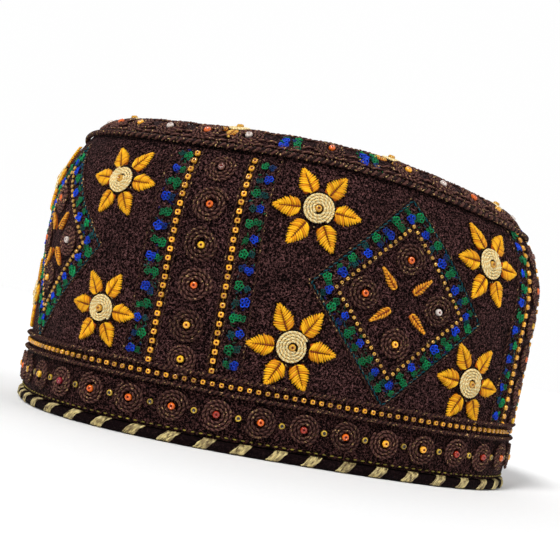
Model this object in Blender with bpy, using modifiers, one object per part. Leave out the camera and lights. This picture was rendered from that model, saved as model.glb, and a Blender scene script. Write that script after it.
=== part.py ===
"""Balochi cap: a stiff, embroidered, oval pillbox cap resting on its rim.

Metres, +Z up. The origin is the middle of the oval on the surface that the rim rests on,
and +X runs along the oval's long axis. A place round the cap is a share of the oval's
length, from 0 at +X, counter-clockwise seen from above.
"""

import math

import bmesh
import bpy
import numpy as np
from mathutils import Matrix, Vector

# The wall's outer face at the rim, seen from above: a slightly squared oval
HALF_LENGTH = 0.0990
HALF_WIDTH = 0.0835
SQUARENESS = 2.5

# The wall's outer face, seen from the side
SEAM_HEIGHT = 0.1052
SEAM_DIP = 0.0035
SHOULDER_HEIGHT = 0.0740
SHOULDER_INSET = 0.0094
SHOULDER_ROUNDNESS = 2.3
FLARE = 0.0018

# The crown above the seam
CROWN_EDGE_RISE = 0.0095
CROWN_DOME_RISE = 0.0040

# Cloth
WALL_THICKNESS = 0.0025
CROWN_THICKNESS = 0.0022
BAND_THICKNESS = 0.0025
BAND_BULGE = 0.0004

# Rim binding roll
RIM_HEIGHT = 0.0040
RIM_WIDTH = 0.0054
RIM_PROUD = 0.0015

# Cords: both border cords run beside the line of square beads
BEAD_LINE_HEIGHT = 0.0233
BORDER_CORD_SPACING = 0.0055
BORDER_CORD_DIAMETER = 0.0016
SEAM_CORD_DIAMETER = 0.0020

# Coiled cord rosettes on the border band
ROSETTE_COUNT = 38
ROSETTE_DIAMETER = 0.0125
ROSETTE_THICKNESS = 0.0013
ROSETTE_HEIGHT = 0.0130
FIRST_ROSETTE = 0.6587

# Clearance between pieces that touch, and the short flat lips on both sides of the seam
GAP = 0.0003
LIP = 0.0008

# Fineness of the shapes
STATIONS = 60
ROSETTE_SIDES = 12
CORD_BEVEL_RESOLUTION = 1
MERGE_DISTANCE = 0.0001
SLOPE_STEP = 0.0001

# Rows of each shell. Heights are shares of the way up, crown rows shares of the way out.
BAND_ROWS = (0.0, 0.3, 0.7, 1.0)
WALL_ROWS = (0.0, 0.5, 1.0)
SHOULDER_ROWS = (0.25, 0.45, 0.63, 0.8)
CROWN_ROWS = (0.965, 0.93, 0.86, 0.7, 0.4)

# How the seam dips at the cap's ends: (waves round the cap, share of SEAM_DIP)
SEAM_WAVES = ((1, -1.0), (2, -0.54), (4, 0.35))

# Section of the rim roll: (share of its width from the inside, share of its height)
RIM_SECTION = (
    (0.88, 0.00),
    (1.00, 0.30),
    (0.98, 0.70),
    (0.80, 1.00),
    (0.20, 1.00),
    (0.02, 0.70),
    (0.00, 0.30),
    (0.12, 0.00),
)

# Profile of a rosette: (share of its radius, share of its thickness), from the middle out
ROSETTE_PROFILE = ((0.0, 0.72), (0.5, 1.0), (1.0, 0.55), (1.0, 0.0), (0.0, 0.0))

# Finishes: name, colour, roughness, metallic
FINISHES = {
    "dark_cloth": ((0.034, 0.018, 0.014), 0.9, 0.0),
    "border_cloth": ((0.030, 0.016, 0.013), 0.9, 0.0),
    "rim_binding": ((0.028, 0.012, 0.012), 0.7, 0.0),
    "couched_cord": ((0.055, 0.026, 0.018), 0.75, 0.1),
    "seam_piping": ((0.075, 0.045, 0.022), 0.7, 0.2),
}

ANGLE_STEPS = 1440
PARTS = "balochi_cap"


def oval_point(angle):
    """Point of the wall's outer outline in this direction from the middle."""
    cosine, sine = np.cos(angle), np.sin(angle)
    reach = (
        np.abs(cosine / HALF_LENGTH) ** SQUARENESS + np.abs(sine / HALF_WIDTH) ** SQUARENESS
    ) ** (-1.0 / SQUARENESS)
    return np.stack([reach * cosine, reach * sine], axis=-1)


def length_table():
    """Angles round the oval, and the share of its length reached at each of them."""
    angles = np.linspace(0.0, 2.0 * math.pi, ANGLE_STEPS + 1)
    steps = np.linalg.norm(np.diff(oval_point(angles), axis=0), axis=1)
    return angles, np.concatenate([[0.0], np.cumsum(steps)]) / steps.sum()


ANGLES, SHARES = length_table()


def plan_point(share):
    """Point of the wall's outer outline at a share of the oval's length."""
    return Vector(oval_point(np.interp(share % 1.0, SHARES, ANGLES)))


def seam_wave(share):
    """How far the seam rises above or dips below its mean height here."""
    return SEAM_DIP * sum(
        weight * math.cos(2.0 * math.pi * waves * share) for waves, weight in SEAM_WAVES
    )


def seam_height(share):
    return SEAM_HEIGHT + seam_wave(share)


def shoulder_height(share):
    """Where the wall starts to lean in, lower where the seam is lower."""
    return SHOULDER_HEIGHT * seam_height(share) / SEAM_HEIGHT


def wall_scale(share, height):
    """Size of the outline at this height, as a share of the size at the rim."""
    seam = seam_height(share)
    shoulder = shoulder_height(share)
    up_shoulder = max(0.0, (height - shoulder) / (seam - shoulder))
    flare = FLARE * min(height / shoulder, 1.0)
    return 1.0 + (flare - SHOULDER_INSET * up_shoulder**SHOULDER_ROUNDNESS) / HALF_LENGTH


def wall_point(share, height):
    """Point of the wall's outer face."""
    plan = plan_point(share) * wall_scale(share, height)
    return Vector((plan.x, plan.y, height))


def wall_frame(share, height):
    """Point of the wall's outer face, the direction along the wall and the outward normal."""
    along = wall_point(share + SLOPE_STEP, height) - wall_point(share - SLOPE_STEP, height)
    up = wall_point(share, height + SLOPE_STEP) - wall_point(share, height - SLOPE_STEP)
    return wall_point(share, height), along.normalized(), along.cross(up).normalized()


def lifted(share, height, lift):
    """Point this far outside the wall's outer face."""
    point, _, normal = wall_frame(share, height)
    return point + normal * lift


def seam_slope(share):
    """Rise of the wall at the seam for each unit that the outline shrinks there."""
    seam = seam_height(share)
    return SLOPE_STEP / (wall_scale(share, seam - SLOPE_STEP) - wall_scale(share, seam))


def crown_point(share, out):
    """Point of the crown's outer face, out from 0 in the middle to 1 at the seam.

    The steep edge has the exponent that lets the crown carry on in the wall's slope.
    """
    scale = wall_scale(share, seam_height(share))
    edge_power = (seam_slope(share) * scale - 2.0 * CROWN_DOME_RISE) / CROWN_EDGE_RISE
    rise = CROWN_EDGE_RISE * (1.0 - out**edge_power) + CROWN_DOME_RISE * (1.0 - out**2)
    plan = plan_point(share) * scale * out
    return Vector((plan.x, plan.y, SEAM_HEIGHT + seam_wave(share) * out**2 + rise))


def crown_step(distance):
    """Change of out near the seam for this distance along the crown's face."""
    return distance / math.hypot(HALF_WIDTH, seam_slope(0.0))


def stations():
    return [index / STATIONS for index in range(STATIONS)]


def finish(name):
    """The material of this name, made once."""
    if name in bpy.data.materials:
        return bpy.data.materials[name]
    colour, roughness, metallic = FINISHES[name]
    made = bpy.data.materials.new(name)
    made.use_nodes = True
    shader = made.node_tree.nodes["Principled BSDF"]
    shader.inputs["Base Color"].default_value = (*colour, 1.0)
    shader.inputs["Roughness"].default_value = roughness
    shader.inputs["Metallic"].default_value = metallic
    return made


def add_object(name, data, finish_name):
    """A new object in the cap's collection, with its finish."""
    made = bpy.data.objects.new(name, data)
    if not data.materials:
        data.materials.append(finish(finish_name))
    bpy.data.collections[PARTS].objects.link(made)
    return made


def loft(rows, pole=None, closed=False):
    """A smooth mesh through rings of points that run counter-clockwise, lowest ring first.

    A pole closes the last ring to one point, and closed joins the last ring to the first.
    """
    mesh = bmesh.new()
    rings = [[mesh.verts.new(point) for point in row] for row in rows]
    pairs = list(zip(rings, rings[1:]))
    if closed:
        pairs.append((rings[-1], rings[0]))
    for lower, upper in pairs:
        for index, start in enumerate(lower):
            following = (index + 1) % len(lower)
            mesh.faces.new((start, lower[following], upper[following], upper[index]))
    if pole is not None:
        top = mesh.verts.new(pole)
        for index, start in enumerate(rings[-1]):
            mesh.faces.new((start, rings[-1][(index + 1) % len(rings[-1])], top))
    data = bpy.data.meshes.new("loft")
    mesh.to_mesh(data)
    mesh.free()
    data.shade_smooth()
    return data


def add_shell(name, data, thickness, finish_name):
    """A cloth shell: its outer face is the loft, and its thickness goes inwards."""
    shell = add_object(name, data, finish_name)
    solidify = shell.modifiers.new("Cloth", "SOLIDIFY")
    solidify.thickness = thickness
    solidify.offset = -1.0
    solidify.use_even_offset = True
    return shell


def add_rim_roll():
    """The padded binding under the wall and the border band, flat where it rests."""
    rows = [
        [
            lifted(share, up * RIM_HEIGHT, RIM_PROUD - RIM_WIDTH * (1.0 - across))
            for share in stations()
        ]
        for across, up in RIM_SECTION
    ]
    for row, (_, up) in zip(rows, RIM_SECTION):
        for point in row:
            point.z = up * RIM_HEIGHT
    add_object("rim_roll", loft(rows, closed=True), "rim_binding")


def border_cord_height(side):
    """Middle of the border cord below (-1) or above (+1) the bead line."""
    return BEAD_LINE_HEIGHT + side * BORDER_CORD_SPACING / 2.0


def band_face(share, up):
    """Point of the border band's outer face, up from 0 at its lower edge to 1.

    The band stands between the rim roll and the wall, which meet under the lower cord.
    """
    bottom = RIM_HEIGHT + GAP
    top = border_cord_height(-1) - GAP / 2.0
    return lifted(share, bottom + (top - bottom) * up, BAND_BULGE * math.sin(math.pi * up))


def add_lower_band():
    rows = [[band_face(share, up) for share in stations()] for up in BAND_ROWS]
    add_shell("lower_band", loft(rows), BAND_THICKNESS, "border_cloth")


def wall_row(low, high, up):
    """A ring of the wall's outer face, a share of the way up between two heights."""
    return [
        wall_point(share, low(share) + (high(share) - low(share)) * up) for share in stations()
    ]


def add_side_wall():
    """The straight wall and its rounded shoulder, up to the seam."""

    def bottom(share):
        return border_cord_height(-1) + GAP / 2.0

    def lip(share):
        return seam_height(share) - LIP

    rows = [wall_row(bottom, shoulder_height, up) for up in WALL_ROWS]
    rows += [wall_row(shoulder_height, seam_height, up) for up in SHOULDER_ROWS]
    rows += [wall_row(lip, seam_height, up) for up in (0.0, 1.0)]
    add_shell("side_wall", loft(rows), WALL_THICKNESS, "dark_cloth")


def add_crown():
    """The domed top, starting one gap beyond the seam."""
    edge = 1.0 - crown_step(GAP)
    outs = (edge, edge - crown_step(LIP), *CROWN_ROWS)
    rows = [[crown_point(share, out) for share in stations()] for out in outs]
    add_shell("crown", loft(rows, pole=crown_point(0.0, 0.0)), CROWN_THICKNESS, "dark_cloth")


def add_cord(name, heights, diameter, finish_name):
    """A round cord on the wall's outer face, all the way round, at a height for each station."""
    curve = bpy.data.curves.new(name, "CURVE")
    curve.dimensions = "3D"
    curve.bevel_depth = diameter / 2.0
    curve.bevel_resolution = CORD_BEVEL_RESOLUTION
    line = curve.splines.new("POLY")
    line.points.add(STATIONS - 1)
    for point, share, height in zip(line.points, stations(), heights):
        point.co = (*lifted(share, height, GAP + diameter / 2.0), 1.0)
    line.use_cyclic_u = True
    line.use_smooth = True
    add_object(name, curve, finish_name)


def add_cords():
    for name, side in (("border_cord_lower", -1), ("border_cord_upper", 1)):
        level = [border_cord_height(side)] * STATIONS
        add_cord(name, level, BORDER_CORD_DIAMETER, "couched_cord")
    seam = [seam_height(share) for share in stations()]
    add_cord("seam_cord", seam, SEAM_CORD_DIAMETER, "seam_piping")


def rosette_profile_mesh():
    """Half section of a rosette, from its dished middle over its crest to its flat back."""
    points = [
        (across * ROSETTE_DIAMETER / 2.0, 0.0, up * ROSETTE_THICKNESS)
        for across, up in ROSETTE_PROFILE
    ]
    data = bpy.data.meshes.new("rosette")
    data.from_pydata(points, [(index, index + 1) for index in range(len(points) - 1)], [])
    return data


def rosette_place(share):
    """Matrix that seats a rosette on the border band, its axis along the outward normal."""
    point, along, normal = wall_frame(share, ROSETTE_HEIGHT)
    seat = point + normal * (BAND_BULGE + GAP)
    turn = Matrix((along, normal.cross(along), normal)).transposed().to_4x4()
    return Matrix.Translation(seat) @ turn


def add_rosettes():
    profile = rosette_profile_mesh()
    for index in range(ROSETTE_COUNT):
        rosette = add_object(f"band_rosette_{index + 1:02d}", profile, "couched_cord")
        rosette.matrix_world = rosette_place(FIRST_ROSETTE + index / ROSETTE_COUNT)
        turn = rosette.modifiers.new("Turn", "SCREW")
        turn.steps = ROSETTE_SIDES
        turn.render_steps = ROSETTE_SIDES
        turn.use_merge_vertices = True
        turn.merge_threshold = MERGE_DISTANCE
        turn.use_smooth_shade = True


def main():
    for old in list(bpy.data.objects):
        bpy.data.objects.remove(old)
    bpy.context.scene.collection.children.link(bpy.data.collections.new(PARTS))
    add_rim_roll()
    add_lower_band()
    add_side_wall()
    add_cords()
    add_crown()
    add_rosettes()


main()
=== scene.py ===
"""Balochi cap: embroidery, beads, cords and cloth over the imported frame, on a pale floor.

Metres, +Z up. The cap's outer face is described as in the part's source: a place round it is a
share of the oval's length, counter-clockwise from +X, and up is 0 on the floor, 1 at the seam
and 2 in the middle of the crown. Small shapes are made flat, x along the face, y up it and z out
of it, and a spot bends them onto the face.
"""

import math
from typing import NamedTuple

import bpy
import numpy as np
from mathutils import Matrix


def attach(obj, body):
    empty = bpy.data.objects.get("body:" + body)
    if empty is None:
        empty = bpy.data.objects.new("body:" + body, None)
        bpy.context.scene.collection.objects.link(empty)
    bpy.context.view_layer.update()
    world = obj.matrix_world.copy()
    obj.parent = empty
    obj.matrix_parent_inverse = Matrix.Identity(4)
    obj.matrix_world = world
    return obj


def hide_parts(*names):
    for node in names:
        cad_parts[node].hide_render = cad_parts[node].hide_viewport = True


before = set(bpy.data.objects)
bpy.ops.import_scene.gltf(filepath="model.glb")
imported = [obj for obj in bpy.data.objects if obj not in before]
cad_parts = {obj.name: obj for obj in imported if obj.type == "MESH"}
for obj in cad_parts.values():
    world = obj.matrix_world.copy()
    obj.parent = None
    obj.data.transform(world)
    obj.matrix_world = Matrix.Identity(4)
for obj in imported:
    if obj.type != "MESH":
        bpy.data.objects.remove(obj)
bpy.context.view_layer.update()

TAU = 2.0 * math.pi
MM = 0.001

# Form of the cap, as in the part's source
HALF_LENGTH = 0.0990
HALF_WIDTH = 0.0835
SQUARENESS = 2.5
SEAM_HEIGHT = 0.1052
SEAM_DIP = 0.0035
SEAM_WAVES = ((1, -1.0), (2, -0.54), (4, 0.35))
SHOULDER_HEIGHT = 0.0740
SHOULDER_INSET = 0.0094
SHOULDER_ROUNDNESS = 2.3
FLARE = 0.0018
CROWN_EDGE_RISE = 0.0095
CROWN_DOME_RISE = 0.0040
WALL_THICKNESS = 0.0025
CROWN_THICKNESS = 0.0022
BAND_BULGE = 0.0004
RIM_HEIGHT = 0.0040
RIM_WIDTH = 0.0054
RIM_PROUD = 0.0015
BEAD_LINE_HEIGHT = 0.0233
BORDER_CORD_SPACING = 0.0055
BORDER_CORD_DIAMETER = 0.0016
BORDER_CORD_PITCH = 0.0019
SEAM_CORD_DIAMETER = 0.0020
SEAM_CORD_PITCH = 0.0034
BAND_ROSETTE_COUNT = 38
BAND_ROSETTE_HEIGHT = 0.0130
FIRST_COLUMN = 0.6587
GAP = 0.0003
STEP = 0.0001

# Embroidery, sizes in metres. Sewn things lie this far above the cloth, edge cords a little further
SEWN = 0.0001
EDGE_LIFT = 0.0003
COLUMNS = [FIRST_COLUMN + index / 4.0 for index in range(4)]
DIAMONDS = [column + 0.125 for column in COLUMNS]
COLUMN_ROSETTES = (
    (0.925, 0.88), (0.796, 1.04), (0.660, 1.03), (0.525, 1.02), (0.392, 1.0), (0.278, 0.88),
)
COLUMN_LINE = 0.0114
COLUMN_TAPER = 0.91
COLUMN_EDGES = (-0.0018, 0.0017, 0.0104)
COLUMN_DASHES = 22
COLUMN_DASHES_IN = 0.0017
COLUMN_DASHES_FOOT = 0.0030
BEAD_PITCH = 0.0033
BORDER_BEAD_SIZE = 0.86
BAND_ROSETTE_SIZE = 0.93
RUN_HEIGHT = 0.0054
RUN_PITCH = 0.0030
ZIGZAG_PITCH = 0.0054
ZIGZAG_AWAY = 0.0062
ZIGZAG_AWAY_LEFT_TOP = 0.0046
ZIGZAG_SWAY = 0.0013
ZIGZAG_HALF_WIDTH = 0.0033
KNOT_JITTER = 0.00035
STITCH_SPACING = 0.0007

# A column's foot as an up value, and its lines from and to this far above the foot
COLUMN_FOOT_UP = 0.25
BEADS_REACH = (0.0009, 0.0775)
DASHES_REACH = (0.0026, 0.0758)
ZIGZAG_REACH = (0.0010, 0.0790)
EDGES_REACH = (0.0010, 0.0800)

# Flowers: the disc's edge, where petals start, their tips and half their width
DISC_EDGE = 0.0067
PETAL_TIP = 0.0165
PETAL_HALF_WIDTH = 0.0037

# Flowers that the photo shows, then the others: share, up, size
SEEN_FLOWERS = (
    (0.5975, 0.838, 0.87),
    (0.6020, 0.394, 0.87),
    (0.7215, 0.839, 0.98),
    (0.7215, 0.378, 0.98),
    (0.8437, 0.824, 0.96),
    (0.8440, 0.385, 0.96),
)
OTHER_FLOWERS = [
    (share, up, 0.96) for share in (0.971, 0.096, 0.221, 0.346, 0.471) for up in (0.84, 0.39)
]

DIAMOND_UP = 0.602
DIAMOND_REACH = 0.0355
DIAMOND_MIDDLE_REACH = 0.0324
DIAMOND_INNER_REACH = 0.0280
DIAMOND_BEAD_PITCH = 0.0025
DIAMOND_CORNERS = ((0.96, 0), (0, 1.04), (-0.96, 0), (0, -1.04))
DIAMOND_ROSETTES = ((0.0, 0.0155), (0.0150, 0.0), (0.0, -0.0155), (-0.0150, 0.0))
DIAMOND_ROSETTE_SIZE = 0.98
LEAF_AWAY = 0.0056

# The crown's ring: its places, how far the first one lies past the column as a share of the space
# between two of them, and distances measured inward from the seam
CROWN_RING = 34
CROWN_SHIFT = 0.25
CROWN_ROSETTES_IN = 0.0074
CROWN_ROSETTE_SIZE = 0.9
CROWN_KNOTS = (1, 3, 9, 11, 18, 20, 26, 28)
CROWN_KNOT_ROWS = (0.0060, 0.0100)
CROWN_KNOT_REACH = 0.0045
CROWN_FLOWERS = 8
CROWN_FIRST_FLOWER = 0.6525
CROWN_FLOWERS_IN = 0.0160
CROWN_FLOWER_SIZE = 0.62
CROWN_MIDDLE_UP = 1.84
CROWN_DIAMOND_SIZE = 0.9
# Distance and sway of each cord
CROWN_CORDS = ((0.0026, 0.0), (0.0043, -0.0011), (0.0152, 0.0015))

rng = np.random.default_rng(7)


def rgb(red, green, blue):
    """Linear colour from an sRGB one, 0 to 255."""
    parts = np.array((red, green, blue)) / 255.0
    return np.where(parts <= 0.04045, parts / 12.92, ((parts + 0.055) / 1.055) ** 2.4)


# Cloth grounds are the cloth's own near-black colour, kept this dark partly as painted shade
# between the stitches; the thread colours after each are lighter, as painted highlight on the dark
# thread
CLOTH = rgb(7, 1, 1)
CLOTH_THREAD_HIGHLIGHT = rgb(164, 110, 108)
BAND_CLOTH = rgb(8, 2, 2)
BAND_THREAD_HIGHLIGHT = rgb(142, 92, 88)
BINDING = rgb(14, 4, 6)
BINDING_THREAD_HIGHLIGHT = rgb(64, 42, 42)
# Pale specks on the cords: painted highlight glints
PAINTED_GLINT = rgb(206, 168, 112)
PETAL = rgb(255, 194, 26)
PETAL_SHADE = rgb(196, 92, 2)
# Dark vein colour: painted shade in the gap between a petal's two rows of stitches
VEIN_SHADE = rgb(122, 46, 4)
DISC = rgb(255, 240, 188)
DISC_SHADE = rgb(240, 206, 134)
AMBER = rgb(255, 178, 44)
YELLOW = rgb(242, 184, 30)
ORANGE = rgb(226, 98, 12)
RED = rgb(158, 40, 16)
MAGENTA = rgb(146, 30, 44)
WHITE = rgb(214, 200, 190)
DULL = rgb(120, 78, 66)
BRASS = rgb(206, 150, 40)
RING_GOLD = rgb(214, 172, 50)
SPACER = rgb(216, 162, 62)
BLUE = rgb(16, 86, 250)
DARK_BLUE = rgb(10, 34, 150)
GREEN = rgb(0, 152, 84)
DARK_GREEN = rgb(2, 74, 50)
TEAL = rgb(6, 84, 96)
# Bead holes: painted shade, dark red in the amber beads and near black in the gold rings
HOLE_SHADE = rgb(122, 22, 4)
DARK_HOLE_SHADE = rgb(16, 8, 8)
CORD_DARK = rgb(30, 14, 14)
COIL_LIGHT = rgb(106, 70, 62)
COIL_DARK = rgb(54, 30, 28)
EDGE_LIGHT = rgb(84, 52, 46)
RUN = rgb(160, 142, 48)
DASH = rgb(190, 146, 42)
CROWN_PETAL = rgb(250, 206, 96)
LEAF = rgb(250, 178, 46)
LEAF_SHADE = rgb(182, 84, 8)
RIM_GOLD = rgb(228, 208, 142)
RIM_SHADE = rgb(72, 44, 18)

# The cap's outer face

def oval(angle):
    cosine, sine = np.cos(angle), np.sin(angle)
    reach = np.abs(cosine / HALF_LENGTH) ** SQUARENESS + np.abs(sine / HALF_WIDTH) ** SQUARENESS
    return reach[..., None] ** (-1.0 / SQUARENESS) * np.stack([cosine, sine], -1)


ANGLES = np.linspace(0.0, TAU, 1441)
OVAL_STEPS = np.linalg.norm(np.diff(oval(ANGLES), axis=0), axis=1)
OVAL_LENGTH = OVAL_STEPS.sum()
SHARES = np.concatenate([[0.0], np.cumsum(OVAL_STEPS)]) / OVAL_LENGTH


def seam_wave(share):
    return SEAM_DIP * sum(weight * np.cos(waves * TAU * share) for waves, weight in SEAM_WAVES)


def wall_scale(share, height):
    """Size of the wall's outline at this height, as a share of its size at the rim."""
    seam = SEAM_HEIGHT + seam_wave(share)
    shoulder = SHOULDER_HEIGHT * seam / SEAM_HEIGHT
    up_shoulder = np.maximum(0.0, (height - shoulder) / (seam - shoulder))
    flare = FLARE * np.minimum(height / shoulder, 1.0)
    return 1.0 + (flare - SHOULDER_INSET * up_shoulder**SHOULDER_ROUNDNESS) / HALF_LENGTH


def face_scale(share, up):
    seam = SEAM_HEIGHT + seam_wave(share)
    return wall_scale(share, seam * np.minimum(up, 1.0)) * np.minimum(2.0 - up, 1.0)


def face_point(share, up):
    """Point of the cap's outer face."""
    wave = seam_wave(share)
    seam = SEAM_HEIGHT + wave
    out = np.clip(2.0 - up, 0.0, 1.0)
    scale = wall_scale(share, seam)
    slope = STEP / (wall_scale(share, seam - STEP) - scale)
    edge_power = (slope * scale - 2.0 * CROWN_DOME_RISE) / CROWN_EDGE_RISE
    rise = CROWN_EDGE_RISE * (1.0 - out**edge_power) + CROWN_DOME_RISE * (1.0 - out**2)
    height = np.where(up > 1.0, SEAM_HEIGHT + wave * out**2 + rise, seam * up)
    outline = oval(np.interp(share % 1.0, SHARES, ANGLES)) * face_scale(share, up)[..., None]
    return np.concatenate([outline, height[..., None]], -1)


def lift_off(face, x, y, z):
    """Points z above a face, which is a function of x along it and y up it."""
    base = face(x, y)
    normal = np.cross(face(x + STEP, y) - base, face(x, y + STEP) - base)
    normal /= np.linalg.norm(normal, axis=-1, keepdims=True)
    return base + normal * z[..., None]


def spot(share, up):
    """Bends flat shapes onto the face round this place."""
    ups = np.linspace(0.0, 1.98, 700)
    steps = np.linalg.norm(np.diff(face_point(np.full_like(ups, share), ups), axis=0), axis=1)
    distances = np.concatenate([[0.0], np.cumsum(steps)])
    start = np.interp(up, ups, distances)

    def face(x, y):
        here = np.interp(start + y, distances, ups)
        return face_point(share + x / (OVAL_LENGTH * face_scale(share, here)), here)

    return lambda x, y, z: lift_off(face, x, y, z)


def level(height):
    """Bends shapes onto the wall at this height, x running all the way round the cap."""

    def face(x, y):
        share = x / OVAL_LENGTH
        return face_point(share, (height + y) / (SEAM_HEIGHT + seam_wave(share)))

    return lambda x, y, z: lift_off(face, x, y, z)


def along_seam(x, y, z):
    """Bends shapes onto the seam, x running all the way round the cap."""
    return lift_off(lambda x, y: face_point(x / OVAL_LENGTH, 1.0 + y / SEAM_HEIGHT), x, y, z)


def crown_top():
    """Bends flat shapes onto the middle of the crown, x along the cap's length."""

    def face(x, y):
        share = np.interp(np.arctan2(y, x) % TAU, ANGLES, SHARES)
        reach = np.linalg.norm(face_point(share, np.ones_like(share))[..., :2], axis=-1)
        return face_point(share, 2.0 - np.hypot(x, y) / reach)

    return lambda x, y, z: lift_off(face, x, y, z)


def roll_point(share, around, lift):
    """Point of the rim roll, around 0 on its outer side and a quarter turn on its top."""
    cosine, sine = np.cos(around), np.sin(around)
    sideways = RIM_PROUD - RIM_WIDTH / 2.0 + (RIM_WIDTH / 2.0 + lift) * (
        np.sign(cosine) * np.abs(cosine) ** 0.75
    )
    height = RIM_HEIGHT / 2.0 + (RIM_HEIGHT / 2.0 + lift) * np.sign(sine) * np.abs(sine) ** 0.75

    def face(x, y):
        return face_point(x / OVAL_LENGTH, y / SEAM_HEIGHT)

    points = lift_off(face, share * OVAL_LENGTH, np.zeros_like(share), sideways)
    points[..., 2] = height
    return points


# Flat shapes

class Shape(NamedTuple):
    """Points, polygons by number of sides, a place on the surface and 1 where it is hollow."""

    points: np.ndarray
    faces: list
    places: np.ndarray
    hollow: np.ndarray


def grid(points, closed=False, caps=False, places=None, hollow=None):
    """A shape from rows of points, each row going round, closed joining the last to the first."""
    rows, columns = points.shape[:2]
    index = np.arange(rows * columns).reshape(rows, columns)
    if closed:
        index = np.vstack([index, index[:1]])
    index = np.hstack([index, index[:, :1]])
    corners = (index[:-1, :-1], index[:-1, 1:], index[1:, 1:], index[1:, :-1])
    faces = [np.stack(corners, -1).reshape(-1, 4)]
    if caps:
        ring = np.arange(columns)
        faces.append(np.array([ring[::-1], ring + (rows - 1) * columns]))
    if places is None:
        places = np.zeros((rows, columns, 2))
    if hollow is None:
        hollow = np.zeros((rows, columns))
    return Shape(points.reshape(-1, 3), faces, places.reshape(-1, 2), hollow.reshape(-1))


def together(shapes):
    """One shape from several."""
    starts = np.cumsum([0] + [len(shape.points) for shape in shapes])
    return Shape(
        np.concatenate([shape.points for shape in shapes]),
        [face + start for shape, start in zip(shapes, starts) for face in shape.faces],
        np.concatenate([shape.places for shape in shapes]),
        np.concatenate([shape.hollow for shape in shapes]),
    )


def unit(vectors):
    return vectors / np.linalg.norm(vectors, axis=-1, keepdims=True)


def path_axes(path, closed):
    """Directions along a path, out of the face and to the side, at each of its points."""
    if closed:
        along = np.roll(path, -1, axis=0) - np.roll(path, 1, axis=0)
    else:
        along = np.gradient(path, axis=0)
    along = unit(along)
    out = np.array((0.0, 0.0, 1.0))
    out = unit(out - along * (along @ out)[:, None])
    return along, out, np.cross(along, out)


def tube(path, radius, sides=6, closed=False, flat=1.0, hollow=0.0):
    """A thread of one or a changing radius along a path, flat being its height over its width."""
    _, out, side = path_axes(path, closed)
    around = np.arange(sides) / sides * TAU
    radius = np.broadcast_to(radius, len(path))[:, None, None]
    ring = out[:, None] * np.cos(around)[:, None] * flat + side[:, None] * np.sin(around)[:, None]
    lengths = np.concatenate([[0.0], np.cumsum(np.linalg.norm(np.diff(path, axis=0), axis=1))])
    places = np.stack(np.broadcast_arrays(lengths[:, None], around / TAU * 0.004), -1)
    hollow = np.full((len(path), sides), hollow)
    points = path[:, None] + radius * ring
    return grid(points, closed, caps=not closed, places=places, hollow=hollow)


def evenly(path, distance, closed=False):
    """The same path with points at an even distance."""
    if closed:
        path = np.vstack([path, path[:1]])
    lengths = np.concatenate([[0.0], np.cumsum(np.linalg.norm(np.diff(path, axis=0), axis=1))])
    count = max(4, round(lengths[-1] / distance))
    places = np.linspace(0.0, lengths[-1], count + 1)
    if closed:
        places = places[:-1]
    return np.stack([np.interp(places, lengths, path[:, axis]) for axis in range(3)], -1)


def twist(path, diameter, pitch, steps=6, sides=4, closed=False):
    """A cord of two strands twisted round each other, the second one marked hollow."""
    path = evenly(path, pitch / steps, closed)
    _, out, side = path_axes(path, closed)
    phase = np.arange(len(path)) / steps * TAU
    if closed:
        phase *= round(phase[-1] / TAU) / (phase[-1] / TAU) * (1.0 - 1.0 / len(path))
    strands = []
    for strand in (0, 1):
        turned = phase + strand * math.pi
        offset = out * np.cos(turned)[:, None] + side * np.sin(turned)[:, None]
        strands.append(
            tube(path + offset * diameter / 4.0, diameter * 0.29, sides, closed, hollow=strand)
        )
    return together(strands)


def spiral(outer, inner, pitch, height):
    """Path of a coil from the outside to the middle, a little higher there."""
    turns = (outer - inner) / pitch
    share = np.linspace(0.0, 1.0, int(40 * turns))
    radius = outer + (inner - outer) * share
    angle = share * turns * TAU
    rise = height * (1.0 + 0.5 * share)
    return np.stack([radius * np.cos(angle), radius * np.sin(angle), rise], -1)


def bead(width, height, hole=0.28, squareness=2.0, sides=10):
    """A bead seen along its hole, its outline round at squareness 2 and squarer above it."""
    # Each ring: share of the width, share of the height, and how far it takes the hole's painted
    # shade
    rings = (
        (0.86, 0.0, 0.0),
        (1.0, 0.3, 0.0),
        (0.97, 0.66, 0.0),
        (0.72, 0.97, 0.0),
        (hole + 0.18, 0.97, 0.15),
        (hole, 0.72, 1.0),
        (hole * 0.5, 0.55, 1.0),
    )
    around = np.arange(sides) / sides * TAU
    cosine, sine = np.cos(around), np.sin(around)
    reach = (np.abs(cosine) ** squareness + np.abs(sine) ** squareness) ** (-1.0 / squareness)
    reach *= width / 2.0
    outline = np.stack([cosine * reach, sine * reach], -1)
    points = [
        np.column_stack([outline * across, np.full(sides, up * height)]) for across, up, _ in rings
    ]
    hollow = np.repeat(np.array([ring[2] for ring in rings])[:, None], sides, axis=1)
    places = np.stack([row[:, :2] for row in points])
    return grid(np.stack(points), caps=True, places=places, hollow=hollow)


def stitch(length, width, height, rows=4, sides=4):
    """One straight stitch along x, tapered and sunk at both ends."""
    share = np.linspace(0.0, 1.0, rows)
    arch = np.sin(share * math.pi) ** 0.6
    path = np.stack([(share - 0.5) * length, np.zeros(rows), (0.1 + arch * 0.9) * height / 2.0], -1)
    return tube(path, width / 2.0 * (0.35 + 0.65 * arch), sides, flat=height / width)


# Outline of a petal: (share of its length, share of its greatest half width)
PETAL_OUTLINE = (
    (0.0, 0.74), (0.12, 0.92), (0.3, 1.0), (0.5, 0.84), (0.7, 0.58), (0.85, 0.34), (1.0, 0.08),
)


def petal_width(share):
    return np.interp(share, *zip(*PETAL_OUTLINE))


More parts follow.
